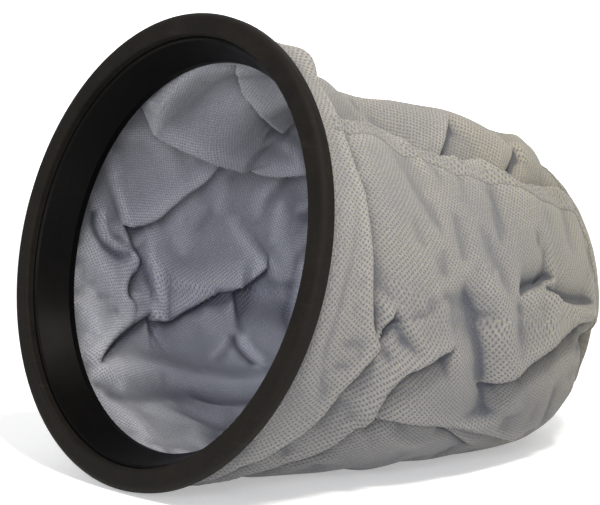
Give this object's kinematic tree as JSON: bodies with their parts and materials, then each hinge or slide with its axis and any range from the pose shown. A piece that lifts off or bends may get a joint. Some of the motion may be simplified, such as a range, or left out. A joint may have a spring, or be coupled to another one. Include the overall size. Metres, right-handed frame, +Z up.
{
  "type": "dust collector filter bag",
  "caption": "Reusable cloth filter bag with a moulded rubber mouth ring, for the drum of a dust collector or shop vacuum.",
  "frame": {"origin": "on the floor under the middle of the bag's overall box, as it lies on its side", "axes": "+Z up, the mouth faces -Y and leans back 12.2 degrees, the bag runs towards +Y, +X to the right when looking along +Y"},
  "size_m": [0.305, 0.3918, 0.2993],
  "materials": {
    "gasket_rubber": "matte moulded rubber, brown black",
    "collar_plastic": "smooth black moulding, slight sheen",
    "filter_cloth": "warm grey filter cloth with a small embossed dot pattern",
    "thread": "grey polyester thread",
    "hoop_steel": "plain spring wire"
  },
  "bodies": {
    "rim": {"mouth_gasket": "gasket_rubber", "collar": "collar_plastic", "neck_hoop": "hoop_steel", "hem": "filter_cloth", "neck_stitching": "thread", "bag_side": "filter_cloth", "side_seam": "filter_cloth", "side_stitching": "thread"},
    "bag_end": {"bag_base": "filter_cloth", "base_seam": "filter_cloth", "base_stitching": "thread"}
  },
  "joints": [
    {"name": "bag_collapse", "type": "slide", "parent": "rim", "child": "bag_end", "axis": [0, 1, 0], "range_m": [-0.13, 0.02], "deforming": ["bag_side", "side_seam", "side_stitching"]}
  ]
}
